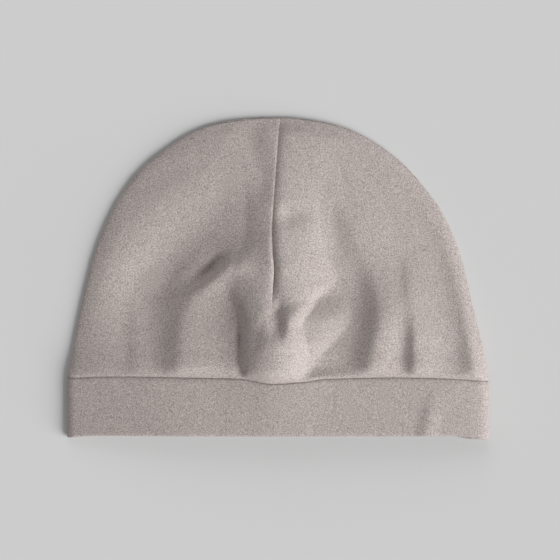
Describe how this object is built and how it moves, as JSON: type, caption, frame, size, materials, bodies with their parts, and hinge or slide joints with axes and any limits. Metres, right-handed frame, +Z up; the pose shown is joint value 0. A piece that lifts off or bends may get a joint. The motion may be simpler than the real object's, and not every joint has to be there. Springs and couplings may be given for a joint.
{
  "type": "skull cap",
  "caption": "Close-fitting jersey cap lying flat on its back: a darted crown on a folded band, hollow and open at the band for a head.",
  "frame": {"origin": "middle of the underside, on the surface that the cap lies on", "axes": "+X across the cap along its band, +Y from the band to the top of the crown, +Z up through the front"},
  "size_m": [0.25, 0.1906, 0.0244],
  "materials": {
    "crown_jersey": "matt heather jersey, warm grey",
    "band_jersey": "matt heather jersey, warm grey, folded double"
  },
  "bodies": {
    "root": {"crown": "crown_jersey", "band": "band_jersey"}
  },
  "joints": []
}
